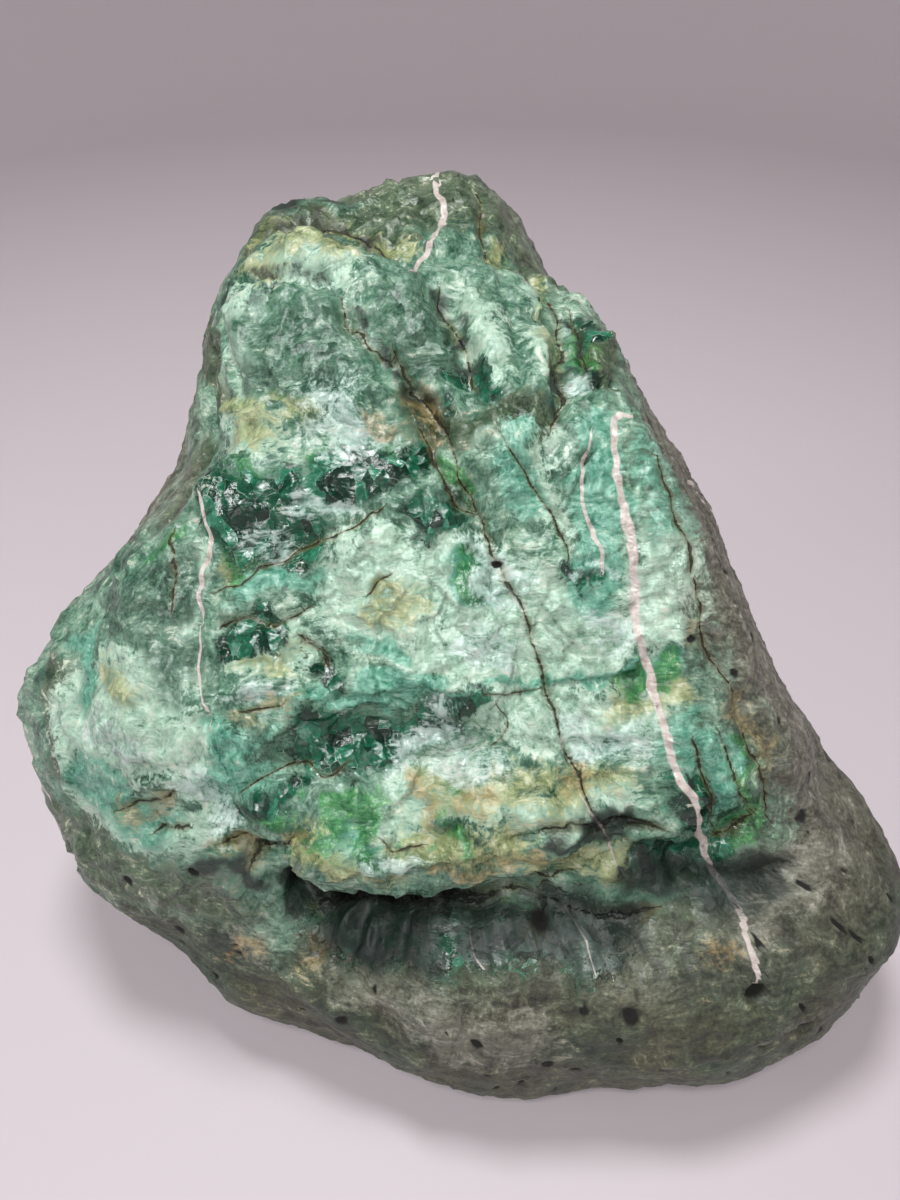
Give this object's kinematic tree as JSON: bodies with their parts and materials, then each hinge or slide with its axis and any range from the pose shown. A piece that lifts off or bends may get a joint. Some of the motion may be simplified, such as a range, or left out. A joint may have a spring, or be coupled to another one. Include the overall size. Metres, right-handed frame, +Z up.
{
  "type": "raw jade boulder",
  "caption": "Water-worn raw jade boulder with a glossy mottled green face, a pale vein and a dull grey-green rind, resting on its flat underside.",
  "frame": {"origin": "on the ground, under the middle of the stone's box", "axes": "+X from the left lobe to the right hip, across the front face; +Y from the toe to the steep back; +Z up"},
  "size_m": [0.26, 0.236, 0.198],
  "materials": {
    "jade": "mottled green jade, wet gloss on the worn face and matte grey-green rind on the flanks and toe"
  },
  "bodies": {
    "root": {"boulder": "jade"}
  },
  "joints": []
}
